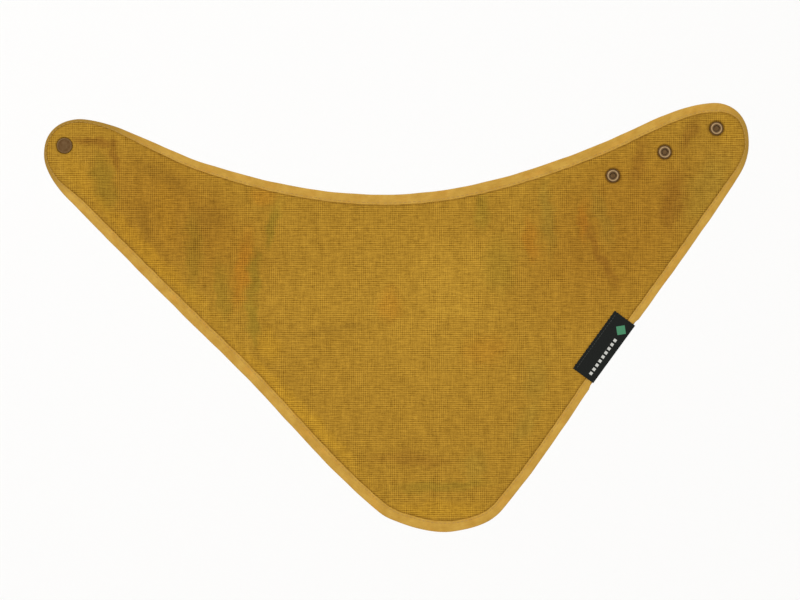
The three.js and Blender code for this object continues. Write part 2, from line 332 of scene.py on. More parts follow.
def inset_ring(inset, step):
    count = int(outline.length / step)
    point, inward = outline.at(np.arange(count) * outline.length / count)
    return point + inset * inward


class Relief:
    """The height to which a slightly too large cloth rises between its sewn edge and its snaps."""

    SPACING = 7.0  # of the simulated cloth
    CELL = 3.0  # of the map of heights that the layers read
    GROWTH = 0.01
    HIGHEST = 1.2
    FRAMES = 24

    def __init__(self):
        low, high = outline.points.min(axis=0) - 10, outline.points.max(axis=0) + 10
        self.low = low
        self.shape = tuple(np.ceil((high - low) / self.CELL).astype(int) + 1)
        self.heights = np.zeros(self.shape)
        self.heights = self.simulated()

    def simulated(self):
        ring = inset_ring(BINDING_WIDTH, self.SPACING)
        grid = hexagonal_grid(self.SPACING)
        grid = grid[outline.from_edge(grid)[0] > BINDING_WIDTH + 0.6 * self.SPACING]
        xy = np.vstack([ring, grid])
        held = np.arange(len(xy)) < len(ring)
        for centre, _ in SNAPS:
            held |= np.linalg.norm(xy - centre, axis=1) < 8
        border = list(range(len(ring)))
        flat, _, triangles, *_ = delaunay_2d_cdt([Vector(p) for p in xy], [], [border], 1, 1e-5)
        mesh = bpy.data.meshes.new("relief")
        start = [(p.x * MM, p.y * MM, 0.0002 * math.sin(0.09 * p.x) * math.cos(0.07 * p.y)) for p in flat]
        mesh.from_pydata(start, [], [list(t) for t in triangles])
        cloth = bpy.data.objects.new("relief", mesh)
        scene = bpy.context.scene
        scene.collection.objects.link(cloth)
        pins = cloth.vertex_groups.new(name="sewn")
        pins.add(np.nonzero(held)[0].tolist(), 1.0, "REPLACE")
        modifier = cloth.modifiers.new("cloth", "CLOTH")
        settings = modifier.settings
        settings.quality = 8
        settings.mass = 0.15
        settings.tension_stiffness = settings.compression_stiffness = 20
        settings.shear_stiffness = 10
        settings.bending_stiffness = 1.0
        settings.shrink_min = settings.shrink_max = -self.GROWTH
        settings.vertex_group_mass = "sewn"
        settings.effector_weights.gravity = 0
        settings.use_pressure = True
        settings.uniform_pressure_force = 0.6
        modifier.point_cache.frame_end = self.FRAMES
        for step in range(1, self.FRAMES + 1):
            scene.frame_set(step)
        raised = cloth.evaluated_get(bpy.context.evaluated_depsgraph_get()).to_mesh()
        tree = BVHTree.FromPolygons([v.co.copy() for v in raised.vertices], [list(t) for t in triangles])
        heights = np.zeros(self.shape)
        for i, j in np.ndindex(self.shape):
            x, y = (self.low + self.CELL * np.array([i, j])) * MM
            hit = tree.ray_cast(Vector((x, y, 1.0)), Vector((0, 0, -1)))[0]
            heights[i, j] = hit.z / MM if hit else 0.0
        scene.frame_set(1)
        bpy.data.objects.remove(cloth)
        heights = np.maximum(heights, 0)
        return self.HIGHEST * heights / heights.max()

    def at(self, xy):
        place = (xy - self.low) / self.CELL
        cell = np.clip(place.astype(int), 0, np.array(self.shape) - 2)
        share = place - cell
        i, j, a, b = cell[:, 0], cell[:, 1], share[:, 0], share[:, 1]
        h = self.heights
        return mix(mix(h[i, j], h[i + 1, j], a), mix(h[i, j + 1], h[i + 1, j + 1], a), b)


relief = Relief()


def lying_height(xy):
    """The height of the cloth where the tip doesn't lift it."""
    return loose_waves(xy) + relief.at(xy)


def base_height(xy):
    return tip_rise(xy) + lying_height(xy)


def ripple(s, waves):
    """A sum of waves along the edge, from pairs of whole cycles per round and height."""
    turn = 2 * math.pi * s / outline.length
    return sum(height * np.sin(cycles * turn + 1.7 * cycles) for cycles, height in waves)


width_places = outline.from_edge(np.array([place for place, _ in BINDING_WIDTHS], dtype=float))[1]
width_values = np.array([width for _, width in BINDING_WIDTHS])


def binding_edge(s):
    """The inset of the binding's inner edge at the distances s along the outline."""
    width = np.interp(s % outline.length, width_places, width_values, period=outline.length)
    return width + ripple(s, [(61, 0.07), (97, 0.06), (149, 0.05)]) * width / BINDING_WIDTH


def edge_roll(s):
    """0 where the binding shows its full width, and 1 where it rolls under at the wing ends. It sets the
    painted shade on the rolled binding.
    """
    return 1 - smooth((binding_edge(s) - 1.8) / 3.2)


# ---- Plan of the fabric layers ----

Plan = namedtuple("Plan", "xy triangles region inset along")

HOLE_SIDES = 40
EDGE_STEP, RING_STEP = 1.7, 2.0  # between points on the edge, and on the rings and cuts inside it
CUT_REACH = (-300, 120)  # along each cut, past the edge at both ends
CUT_CLEARANCE = 0.7


def hole_ring(centre, radius):
    turns = np.arange(HOLE_SIDES) * 2 * math.pi / HOLE_SIDES
    return centre + radius * np.stack([np.cos(turns), np.sin(turns)], axis=1)


def plan_mesh(spacing, insets, snap_radii):
    """Triangles over the bib between its edge and the snap holes, with edges along the cuts."""
    edge = inset_ring(TONGUE_INSET, EDGE_STEP)
    grid = hexagonal_grid(spacing)
    inset, _ = outline.from_edge(grid)
    keep = inset > max(insets) + 0.6 * spacing
    for centre, _ in SNAPS:
        keep &= np.linalg.norm(grid - centre, axis=1) > max(snap_radii) + 0.5 * spacing
    loose = [grid[keep]]
    loose += [inset_ring(ring, RING_STEP) for ring in insets]
    loose = np.vstack(loose)
    for centre, _ in SNAPS:
        loose = loose[np.linalg.norm(loose - centre, axis=1) > max(snap_radii) + 0.5]
    loose = np.vstack([loose] + [hole_ring(centre, r) for centre, _ in SNAPS for r in snap_radii])
    for cut in CUTS:
        loose = loose[np.abs(across_line(cut, loose)) > CUT_CLEARANCE]
    rest, _ = outline.from_edge(loose)
    loose = loose[rest > TONGUE_INSET + 0.5]

    points = [edge]
    edges = [(i, (i + 1) % len(edge)) for i in range(len(edge))]
    total = len(edge)
    for centre, hole in SNAPS:
        points.append(hole_ring(centre, hole))
        edges += [(total + i, total + (i + 1) % HOLE_SIDES) for i in range(HOLE_SIDES)]
        total += HOLE_SIDES
    for cut in CUTS:
        stations = np.arange(*CUT_REACH, RING_STEP)
        points.append(cut.point + stations[:, None] * cut.along)
        edges += [(total + i, total + i + 1) for i in range(len(stations) - 1)]
        total += len(stations)
    points.append(loose)
    coordinates = [Vector(p) for p in np.vstack(points)]
    result = delaunay_2d_cdt(coordinates, edges, [list(range(len(edge)))], 1, 1e-5)
    xy = np.array([tuple(v) for v in result[0]])
    triangles = np.array(result[2])
    middles = xy[triangles].mean(axis=1)
    keep = outline.from_edge(middles)[0] > TONGUE_INSET - 0.2
    for centre, hole in SNAPS:
        keep &= np.linalg.norm(middles - centre, axis=1) > hole * math.cos(math.pi / HOLE_SIDES)
    triangles = triangles[keep]
    used, triangles = np.unique(triangles, return_inverse=True)
    triangles = triangles.reshape(-1, 3)
    xy = xy[used]
    inset, along = outline.from_edge(xy)
    a, b, c = (xy[triangles[:, k]] for k in range(3))
    turned = (b[:, 0] - a[:, 0]) * (c[:, 1] - a[:, 1]) < (b[:, 1] - a[:, 1]) * (c[:, 0] - a[:, 0])
    triangles[turned] = triangles[turned][:, ::-1]
    return Plan(xy, triangles, region_of(xy[triangles].mean(axis=1)), inset, along)


def surface_normals(points, triangles):
    """Smooth normals of a surface, from all its triangles."""
    a, b, c = (points[triangles[:, k]] for k in range(3))
    facing = np.cross(b - a, c - a)
    normals = np.zeros_like(points)
    for k in range(3):
        np.add.at(normals, triangles[:, k], facing)
    return normals / np.linalg.norm(normals, axis=1)[:, None]


# ---- Meshes ----


def new_object(name, vertices, faces):
    """A smooth-shaded mesh from points in millimetres."""
    mesh = bpy.data.meshes.new(name)
    mesh.from_pydata((np.asarray(vertices) * MM).tolist(), [], [list(map(int, face)) for face in faces])
    mesh.polygons.foreach_set("use_smooth", np.ones(len(mesh.polygons), dtype=bool))
    mesh.update()
    made = bpy.data.objects.new(name, mesh)
    bpy.context.scene.collection.objects.link(made)
    return made


def corners_of(mesh):
    """The vertex at each face corner."""
    corners = np.empty(len(mesh.loops), dtype=np.int32)
    mesh.loops.foreach_get("vertex_index", corners)
    return corners


def set_flat_map(made, flat):
    """Stores each vertex's place on the flat cloth, in metres, as the UV map that the patterns use."""
    corners = corners_of(made.data)
    layer = made.data.uv_layers.new(name="Flat")
    layer.data.foreach_set("uv", (np.asarray(flat)[corners] * MM).astype(np.float32).ravel())


def set_tone(made, name, values):
    attribute = made.data.attributes.new(name, "FLOAT", "POINT")
    attribute.data.foreach_set("value", np.asarray(values, dtype=np.float32))


def set_normals(made, normals):
    """Keeps the normals of the whole cloth on a piece of it, so that no cut shows."""
    made.data.normals_split_custom_set(np.asarray(normals).tolist())


def crease_shade_share(plan):
    """The share of painted shade on the velour: 1 in the crease where the cloth goes under the binding or a
    snap, and 0 away from it.
    """
    beside_binding = np.abs(plan.inset - binding_edge(plan.along) - 0.2) / 0.9
    from_snap = np.min([np.linalg.norm(plan.xy - centre, axis=1) for centre, _ in SNAPS], axis=0)
    beside_snap = np.maximum(from_snap - CAP_RADIUS, 0) / 0.9
    binding_crease_shade = (1 - smooth(beside_binding)) * (1 - 0.75 * edge_roll(plan.along))
    return np.maximum(binding_crease_shade, 1 - smooth(beside_snap))


def layer_piece(name, plan, region, top, bottom):
    """The part of a layer in one region, closed by walls along its border."""
    triangles = plan.triangles[plan.region == region]
    used, local = np.unique(triangles, return_inverse=True)
    local = local.reshape(-1, 3)
    count = len(used)
    upper = np.column_stack([plan.xy, top])
    lower = np.column_stack([plan.xy, bottom])
    sides = np.vstack([local[:, [0, 1]], local[:, [1, 2]], local[:, [2, 0]]])
    both_ways = {tuple(side) for side in sides.tolist()}
    border = np.array([side for side in sides.tolist() if (side[1], side[0]) not in both_ways])
    walls = np.column_stack([border[:, 0] + count, border[:, 1] + count, border[:, 1], border[:, 0]])
    faces = local.tolist() + (local[:, ::-1] + count).tolist() + walls.tolist()
    made = new_object(name, np.vstack([upper[used], lower[used]]), faces)
    up = surface_normals(upper, plan.triangles)[used]
    down = -surface_normals(lower, plan.triangles)[used]
    vertex_normals = np.vstack([up, down])
    corner_normals = vertex_normals[corners_of(made.data)]
    side = plan.xy[used][border[:, 1]] - plan.xy[used][border[:, 0]]
    outward = np.column_stack([side[:, 1], -side[:, 0], np.zeros(len(side))])
    outward /= np.linalg.norm(outward, axis=1)[:, None]
    corner_normals[6 * len(local) :] = np.repeat(outward, 4, axis=0)
    set_normals(made, corner_normals)
    set_flat_map(made, np.vstack([plan.xy[used], plan.xy[used]]))
    # Painted shade in the velour's creases beside the binding and the snaps.
    set_tone(made, "painted_crease_shade", np.tile(crease_shade_share(plan)[used], 2))
    return made


def swept_faces(along, across):
    """Faces of a skin with two sides, each along x across points, joined at both edges and at both ends."""
    size = along * across
    faces = []
    for i in range(along - 1):
        here, there = i * across, (i + 1) * across
        for j in range(across - 1):
            faces.append((here + j, there + j, there + j + 1, here + j + 1))
            faces.append((size + here + j + 1, size + there + j + 1, size + there + j, size + here + j))
        last = across - 1
        faces.append((there, here, size + here, size + there))
        faces.append((here + last, there + last, size + there + last, size + here + last))
    end = (along - 1) * across
    for j in range(across - 1):
        faces.append((j, j + 1, size + j + 1, size + j))
        faces.append((end + j + 1, end + j, size + end + j, size + end + j + 1))
    return faces


def closed_tubes(tubes):
    """Vertices and faces of closed tubes, from points by tube, by ring along it and by side round it."""
    count, rings, sides, _ = tubes.shape
    faces = []
    for tube in range(count):
        start = tube * rings * sides
        for k in range(rings - 1):
            for j in range(sides):
                a = start + k * sides + j
                b = start + k * sides + (j + 1) % sides
                faces.append((a, b, b + sides, a + sides))
        faces.append(tuple(start + j for j in range(sides))[::-1])
        faces.append(tuple(start + (rings - 1) * sides + j for j in range(sides)))
    return tubes.reshape(-1, 3), faces


# ---- Heights of the layers ----


def pile_rise(plan):
    """0 under the binding, and 1 where the pile stands free of it."""
    return smooth((plan.inset - binding_edge(plan.along) + 0.3) / 1.9)


def pressed(plan, radii, spread):
    """1 under a snap's head, from the radii of the heads, and 0 where the cloth has recovered from it."""
    share = np.zeros(len(plan.xy))
    for (centre, _), radius in zip(SNAPS, radii):
        away = np.linalg.norm(plan.xy - centre, axis=1)
        share = np.maximum(share, 1 - smooth((away - radius - 0.08) / spread))
    return share


def label_share(xy, margin):
    """1 under the label, and 0 outside it by more than a margin."""
    u, v = label_axes(xy)
    beyond = np.maximum(np.abs(u) - LABEL_LENGTH / 2, np.maximum(v - LABEL_DEPTH, -v))
    return 1 - smooth(beyond / margin)


def label_axes(xy):
    """Places along the label, from its middle, and inwards from its fold."""
    offset = xy - np.array(LABEL_PLACE)
    return offset @ LABEL_ALONG, offset @ LABEL_INWARD


def front_surface(plan):
    pile = pile_rise(plan)
    puckers = ripple(plan.along, [(113, 0.05), (171, 0.04)]) * pile * np.exp(-(((plan.inset - 9) / 5) ** 2))
    swelling = 0.12 * pile * np.exp(-(((plan.inset - 10) / 3) ** 2))
    free = mix(FRONT_TONGUE, FRONT_TOP, pile) + puckers + swelling
    free = mix(free, np.minimum(free, FRONT_TOP), label_share(plan.xy, 4))
    heads = [CAP_RADIUS] + [SOCKET_BASE_RADIUS] * 3
    close = mix(free, FRONT_TONGUE, pressed(plan, heads, 0.75))
    return close - 0.16 * pressed(plan, heads, 4.5) * pile + base_height(plan.xy)


def back_surface(plan):
    pile = pile_rise(plan)
    free = mix(BACK_TONGUE, 0.0, pile)
    under_label = np.maximum(free, 0.4)
    free = mix(free, under_label, label_share(plan.xy, 1.5))
    return mix(free, np.maximum(free, 0.75), pressed(plan, [CAP_RADIUS] * 4, 1.8)) + base_height(plan.xy)


# ---- Materials ----


def new_material(name):
    material = bpy.data.materials.new(name)
    material.use_nodes = True
    return material, material.node_tree, material.node_tree.nodes["Principled BSDF"]


def add_node(tree, kind, inputs=None, **settings):
    """A node with its settings, and its inputs by name or number, each a value or an output to link."""
    node = tree.nodes.new(kind)
    for key, value in settings.items():
        setattr(node, key, value)
    for key, value in (inputs or {}).items():
        if isinstance(value, bpy.types.NodeSocket):
            tree.links.new(value, node.inputs[key])
        else:
            node.inputs[key].default_value = value
    return node


def linear(red, green, blue):
    """A colour given from 0 to 255, as a material takes it."""
    shares = [c / 255 for c in (red, green, blue)]
    return tuple(c / 12.92 if c <= 0.04045 else ((c + 0.055) / 1.055) ** 2.4 for c in shares) + (1.0,)


def math_node(tree, operation, *values):
    return add_node(tree, "ShaderNodeMath", dict(enumerate(values)), operation=operation).outputs[0]


def mix_colours(tree, factor, first, second, blend="MIX"):
    inputs = {0: factor, 6: first, 7: second}
    return add_node(tree, "ShaderNodeMix", inputs, data_type="RGBA", blend_type=blend).outputs[2]


def vector_node(tree, operation, inputs, output=0):
    return add_node(tree, "ShaderNodeVectorMath", inputs, operation=operation).outputs[output]


def turned_place(tree, place, degrees):
    """The place, turned about Z."""
    inputs = {"Vector": place, "Rotation": (0, 0, math.radians(degrees))}
    return add_node(tree, "ShaderNodeMapping", inputs).outputs[0]


def flat_millimetres(tree):
    """The place on the flat cloth, in millimetres."""
    pin = add_node(tree, "ShaderNodeUVMap", uv_map="Flat")
    return vector_node(tree, "SCALE", {0: pin.outputs[0], 3: 1 / MM})


def finish_shader(tree, shader, colour, bump=None, **settings):
    """Links a colour and a bump, which is its height, its strength and its distance in millimetres.

    The other inputs are constants, each a keyword with "_" for a space.
    """
    tree.links.new(colour, shader.inputs["Base Color"])
    if bump:
        height, strength, distance = bump
        inputs = {"Height": height, "Strength": strength, "Distance": distance * MM}
        tree.links.new(add_node(tree, "ShaderNodeBump", inputs).outputs[0], shader.inputs["Normal"])
    for key, value in settings.items():
        shader.inputs[key.replace("_", " ")].default_value = value


def noise(tree, place, size, detail=2.0, roughness=0.5, stretch=(1, 1)):
    """Noise with spots of about one size in millimetres, drawn out along X or Y."""
    scale = (1 / (size * stretch[0]), 1 / (size * stretch[1]), 1)
    scaled = add_node(tree, "ShaderNodeMapping", {"Vector": place, "Scale": scale})
    inputs = {"Vector": scaled.outputs[0], "Scale": 1.0, "Detail": detail, "Roughness": roughness}
    return add_node(tree, "ShaderNodeTexNoise", inputs).outputs[0]


def bands(tree, place, pitch, axis, distortion=0.0):
    """Even ribs across one axis, a rib to each pitch."""
    inputs = {"Vector": place, "Scale": math.pi / (10 * pitch), "Distortion": distortion}
    inputs["Detail"] = 1.0
    inputs["Detail Scale"] = 0.6
    return add_node(tree, "ShaderNodeTexWave", inputs, bands_direction=axis).outputs[1]


def fade(tree, value, start, end, low=0.0, high=1.0):
    """Turns values from start to end into values from low to high, and holds them there beyond."""
    inputs = {"Value": value, "From Min": start, "From Max": end, "To Min": low, "To Max": high}
    return add_node(tree, "ShaderNodeMapRange", inputs).outputs[0]


def weighted(tree, *terms):
    """The sum of outputs, each times its weight."""
    total = 0.0
    for output, weight in terms:
        total = math_node(tree, "MULTIPLY_ADD", output, weight, total)
    return total


def patch(tree, place, centre, size, turn):
    """A soft oval, 1 in its middle and 0 from its rim on."""
    inputs = {"Vector": place, "Location": (*centre, 0), "Scale": (*size, 1)}
    inputs["Rotation"] = (0, 0, math.radians(turn))
    local = add_node(tree, "ShaderNodeMapping", inputs, vector_type="TEXTURE")
    away = vector_node(tree, "LENGTH", {0: local.outputs[0]}, output=1)
    inputs = {"Value": away, "From Min": 1.25, "From Max": 0.3}
    return add_node(tree, "ShaderNodeMapRange", inputs, interpolation_type="SMOOTHSTEP").outputs[0]


def strayed(tree, place, reach):
    """The place moved about by soft noise, so that the patches don't look like ovals."""
    wander = add_node(tree, "ShaderNodeTexNoise", {"Vector": place, "Scale": 0.12, "Detail": 4.0}).outputs[1]
    centred = vector_node(tree, "SUBTRACT", {0: wander, 1: (0.5, 0.5, 0.5)})
    moved = vector_node(tree, "MULTIPLY", {0: centred, 1: (reach, reach, 0)})
    return vector_node(tree, "ADD", {0: place, 1: moved})


WEFT_PITCH, WARP_PITCH = 1.25, 1.21
BRUSH_REACH = 11.0


def come_and_go(tree, ribs, share):
    """Ribs that sink to their middle tone where the share is small."""
    swing = math_node(tree, "MULTIPLY", math_node(tree, "SUBTRACT", ribs, 0.5), share)
    return math_node(tree, "ADD", swing, 0.5)


def velour_material(name, light, dark, patches):
    """Short pile on a woven ground: ribs that come and go, slubs along the weft, and brushed patches."""
    material, tree, shader = new_material(name)
    place = flat_millimetres(tree)
    weft = bands(tree, place, WEFT_PITCH, "Y", 0.9)
    warp = bands(tree, place, WARP_PITCH, "X", 0.9)
    weft = come_and_go(tree, weft, fade(tree, noise(tree, place, 8, 2, 0.5, (1.7, 1)), 0.35, 0.6, 0.35))
    warp = come_and_go(tree, warp, fade(tree, noise(tree, place, 7, 2, 0.5, (1, 2.2)), 0.45, 0.62, 0.15))
    slubs = noise(tree, place, 1.3, 3, 0.65, (5, 0.8))
    cords = noise(tree, place, 1.3, 2, 0.6, (0.8, 6))
    pile = noise(tree, place, 0.9, 3, 0.75)
    streaks = noise(tree, place, 5, 2, 0.55, (1, 5))
    mottle = noise(tree, place, 14, 3, 0.6)
    height = weighted(tree, (weft, 0.5), (warp, 0.38), (slubs, 0.95), (cords, 0.55), (pile, 0.8))
    tone = weighted(tree, (height, 1.0), (streaks, 0.28), (mottle, 0.15))
    colour = mix_colours(tree, fade(tree, tone, 1.29, 2.28), dark, light)
    brushed = strayed(tree, place, BRUSH_REACH)
    for tint, strength, centre, size, turn in patches:
        share = math_node(tree, "MULTIPLY", patch(tree, brushed, centre, size, turn), strength)
        colour = mix_colours(tree, share, colour, tint, "MULTIPLY")
    # Painted shade in the creases beside the binding and the snaps.
    painted_crease_shade = add_node(tree, "ShaderNodeAttribute", attribute_name="painted_crease_shade").outputs["Fac"]
    colour = mix_colours(tree, painted_crease_shade, colour, CREASE_SHADE_TINT, "MULTIPLY")
    finish_shader(
        tree,
        shader,
        colour,
        (height, 0.6, 0.25),
        Roughness=0.95,
        Specular_IOR_Level=0.12,
        Sheen_Weight=0.12,
        Sheen_Roughness=0.45,
        Sheen_Tint=linear(235, 190, 96),
    )
    return material


# Tints multiply the ground colour, so 1 leaves it as it is.
# The tint of the painted shade in the creases beside the binding and the snaps.
CREASE_SHADE_TINT = (0.72, 0.68, 0.66, 1)
OLIVE = (0.78, 0.9, 0.86, 1)
TEAL = (0.88, 0.99, 1.15, 1)
YELLOW = (1.2, 1.2, 0.95, 1)
PALE = (1.12, 1.15, 1.2, 1)
ORANGE = (1.1, 0.94, 0.8, 1)
WARM = (0.9, 0.83, 0.76, 1)
BROWN = (0.72, 0.63, 0.66, 1)
DARK = (0.79, 0.78, 0.8, 1)

# Tint, strength, middle, half sizes and turn of each patch of the front, most of them brushed pile.
FRONT_PATCHES = [
    # broad zones
    (WARM, 1.0, (-128, 58), (66, 36), -32),
    (WARM, 1.0, (128, 52), (70, 48), 48),
    (PALE, 0.5, (12, 2), (52, 60), 0),
    (DARK, 0.3, (180, 98), (26, 24), 40),
    # left wing
    (YELLOW, 0.8, (-146, 38), (60, 5), -45),
    # These two brown marks make a darker curved band near the top of the left wing, running right and then
    # down.
    (BROWN, 0.9, (-178, 104), (15, 2.6), -8),
    (BROWN, 0.8, (-166, 95), (2.6, 11), 14),
    (OLIVE, 0.8, (-172.5, 79.5), (8, 19), 12),
    (YELLOW, 0.5, (-188, 84), (8, 16), 30),
    (DARK, 0.7, (-139.5, 84), (22, 6), -30),
    (DARK, 0.7, (-149, 54.5), (6, 15), 8),
    (YELLOW, 0.4, (-136, 62), (6, 22), 6),
    (OLIVE, 0.6, (-120, 40), (6, 26), 0),
    (DARK, 0.6, (-111.5, 57.5), (10, 12), 0),
    (OLIVE, 0.6, (-103, 16), (5, 22), 4),
    (ORANGE, 1.0, (-91, 29), (6, 24), -10),
    (OLIVE, 0.9, (-73, 54.5), (4, 16), -15),
    (OLIVE, 0.9, (-83.5, 25), (4, 19), 0),
    (OLIVE, 0.9, (-85, -1.5), (4, 17), 8),
    (ORANGE, 0.7, (-79, 71), (9, 6), 0),
    (YELLOW, 0.7, (-74.5, -16), (7, 12), 20),
    # chest
    (YELLOW, 0.8, (-60, -52), (64, 5), -45),
    (PALE, 0.35, (-54, 10), (32, 22), 0),
    (PALE, 0.55, (34.5, 25), (30, 24), 0),
    (PALE, 0.8, (37.5, 3), (30, 4), -5),
    (DARK, 0.5, (-39, -7), (36, 3), 8),
    (ORANGE, 0.6, (-4, 7.5), (8, 12), 0),
    (OLIVE, 0.7, (27, -99), (32, 4), 4),
    (BROWN, 0.5, (8, -84), (28, 5), -4),
    (YELLOW, 0.7, (25.5, -113.5), (32, 6), 0),
    (TEAL, 0.6, (46, -87), (8, 11), 0),
    (TEAL, 0.6, (76, -63), (6, 17), -30),
    (TEAL, 0.5, (81.5, -37), (8, 15), -12),
    (ORANGE, 0.5, (52, -20), (16, 10), 10),
    # right wing
    (TEAL, 0.9, (89, 60), (5, 26), 6),
    (OLIVE, 0.7, (50.5, 63), (5, 13), 0),
    (OLIVE, 0.5, (61, 31), (12, 19), 0),
    (ORANGE, 0.8, (79, 46), (5, 15), 8),
    (ORANGE, 0.8, (110, 57.5), (3.5, 15), 0),
    (PALE, 0.4, (102, 16), (15, 15), 0),
    (BROWN, 0.7, (120, 37), (27, 3.4), -63),
    (TEAL, 0.7, (121, 60.5), (22, 5), -75),
    (BROWN, 0.7, (162.5, 69), (8, 21), -8),
    (BROWN, 0.7, (173, 108), (4, 13), -20),
    (BROWN, 0.6, (143, 92), (5, 16), -14),
    (TEAL, 0.6, (182, 75), (12, 27), -30),
    (YELLOW, 0.4, (196, 110), (10, 9), 40),
]


def binding_material(name):
    """Smooth woven tape with a fine twill, and painted shade where it rolls under at the wing ends."""
    material, tree, shader = new_material(name)
    place = flat_millimetres(tree)
    twill = bands(tree, turned_place(tree, place, 38), 0.42, "X", 0.6)
    streaks = noise(tree, place, 0.8, 2, 0.5, (6, 0.5))
    clouds = noise(tree, place, 7, 3, 0.6)
    tone = weighted(tree, (twill, 0.2), (streaks, 0.5), (clouds, 0.8))
    colour = mix_colours(tree, fade(tree, tone, 0.5, 1.05), linear(170, 127, 44), linear(199, 158, 70))
    warm = fade(tree, noise(tree, place, 5, 2, 0.6, (2.5, 1)), 0.5, 0.7, 0.0, 0.5)
    colour = mix_colours(tree, warm, colour, ORANGE, "MULTIPLY")
    # Painted shade where the binding rolls under at the wing ends.
    rolled_edge_shade = add_node(tree, "ShaderNodeAttribute", attribute_name="rolled_edge_shade").outputs["Fac"]
    colour = mix_colours(tree, rolled_edge_shade, colour, linear(150, 114, 40))
    finish_shader(
        tree,
        shader,
        colour,
        (tone, 0.3, 0.12),
        Roughness=0.85,
        Specular_IOR_Level=0.2,
        Sheen_Weight=0.08,
        Sheen_Roughness=0.5,
        Sheen_Tint=linear(240, 205, 130),
    )
    return material


def thread_material(name, light, dark):
    """Twisted sewing thread."""
    material, tree, shader = new_material(name)
    place = flat_millimetres(tree)
    twist = bands(tree, turned_place(tree, place, 35), 0.3, "X")
    colour = mix_colours(tree, twist, dark, light)
    finish_shader(tree, shader, colour, (twist, 0.4, 0.05), Roughness=0.6, Sheen_Weight=0.1)
    return material


def metal_material(name, rubbed_and_lit_colour, film_and_shade_colour, roughness):
    """Aged metal with faint spots: a dull film, which on the spring is darkened as painted shade, and bright
    metal where each point's share of wear and painted highlight says so.
    """
    material, tree, shader = new_material(name)
    place = add_node(tree, "ShaderNodeTexCoord").outputs["Object"]
    place = vector_node(tree, "SCALE", {0: place, 3: 1 / MM})
    film = noise(tree, place, 1.6, 4, 0.65)
    grain = noise(tree, place, 0.22, 2, 0.6)
    wear_and_highlight = add_node(tree, "ShaderNodeAttribute", attribute_name="wear_and_highlight").outputs["Fac"]
    rubbed_and_lit = weighted(tree, (wear_and_highlight, 1.0), (film, 0.3), (grain, 0.1))
    colour = mix_colours(tree, fade(tree, rubbed_and_lit, 0.15, 1.15), film_and_shade_colour, rubbed_and_lit_colour)
    finish_shader(tree, shader, colour, (grain, 0.15, 0.05), Metallic=1.0)
    rough = weighted(tree, (film, 0.25), (wear_and_highlight, -0.12))
    tree.links.new(math_node(tree, "ADD", rough, roughness - 0.12), shader.inputs["Roughness"])
    return material


# The marks' distances from the inner edge of the label's front leaf.
DASH_RUN, RHOMBUS_RUN = 10.6, 9.9
DASH_PITCH, DASH_SHARE, DASH_HALF_HEIGHT = 3.0, 0.6, 0.9
DASHES_MIDDLE, DASHES_HALF_LENGTH = -4.5, 13.45
RHOMBUS_PLACE, RHOMBUS_REACH = 13.9, 3.6


def label_material(name):
    """Black woven ribbon with a row of woven dashes and a small green rhombus."""
    material, tree, shader = new_material(name)
    place = flat_millimetres(tree)
    weft = bands(tree, place, 0.36, "X", 0.3)
    warp = bands(tree, place, 0.5, "Y", 0.3)
    speckle = noise(tree, place, 0.5, 2, 0.6)
    weave = weighted(tree, (weft, 0.5), (warp, 0.3), (speckle, 0.4))
    colour = mix_colours(tree, fade(tree, weave, 0.2, 1.1), linear(12, 14, 12), linear(34, 36, 34))
    split = add_node(tree, "ShaderNodeSeparateXYZ", {0: place})
    u, v = split.outputs[0], split.outputs[1]
    row = math_node(tree, "COMPARE", v, DASH_RUN, DASH_HALF_HEIGHT)
    stretch = math_node(tree, "COMPARE", u, DASHES_MIDDLE, DASHES_HALF_LENGTH)
    along_dash = math_node(tree, "FRACT", math_node(tree, "MULTIPLY", u, 1 / DASH_PITCH))
    dash = math_node(tree, "LESS_THAN", along_dash, DASH_SHARE)
    marks = math_node(tree, "MULTIPLY", math_node(tree, "MULTIPLY", row, stretch), dash)
    colour = mix_colours(tree, marks, colour, linear(188, 188, 182))
    wide = math_node(tree, "ABSOLUTE", math_node(tree, "SUBTRACT", u, RHOMBUS_PLACE))
    high = math_node(tree, "ABSOLUTE", math_node(tree, "SUBTRACT", v, RHOMBUS_RUN))
    rhombus = math_node(tree, "LESS_THAN", math_node(tree, "ADD", wide, high), RHOMBUS_REACH)
    colour = mix_colours(tree, rhombus, colour, linear(70, 130, 96))
    finish_shader(tree, shader, colour, (weave, 0.5, 0.08), Roughness=0.8, Specular_IOR_Level=0.12)
    return material


def floor_material(name):
    material, tree, shader = new_material(name)
    place = add_node(tree, "ShaderNodeTexCoord").outputs["Object"]
    inputs = {"Vector": place, "Scale": 900.0, "Detail": 2.0}
    grain = add_node(tree, "ShaderNodeTexNoise", inputs).outputs[0]
    colour = mix_colours(tree, grain, (0.9, 0.9, 0.9, 1), (0.92, 0.92, 0.92, 1))
    finish_shader(tree, shader, colour, Roughness=0.9)
    return material


MATERIALS = {
    "velour": velour_material("velour", linear(192, 146, 48), linear(108, 73, 9), FRONT_PATCHES),
    "backing_velour": velour_material("backing_velour", linear(182, 138, 50), linear(102, 70, 14), []),
    "core_fabric": thread_material("core_fabric", linear(226, 218, 200), linear(204, 196, 178)),
    "binding_cotton": binding_material("binding_cotton"),
    "seam_thread": thread_material("seam_thread", linear(190, 148, 64), linear(156, 116, 44)),
    "antique_brass": metal_material("antique_brass", linear(206, 176, 132), linear(90, 63, 35), 0.5),
    # The spring wire's dull colour is darkened as painted shade, so that it reads as the dark groove inside
    # the socket.
    "spring_wire": metal_material("spring_wire", linear(150, 124, 92), linear(96, 74, 52), 0.4),
    "label_tape": label_material("label_tape"),
    "label_thread": thread_material("label_thread", linear(52, 54, 52), linear(24, 26, 24)),
}


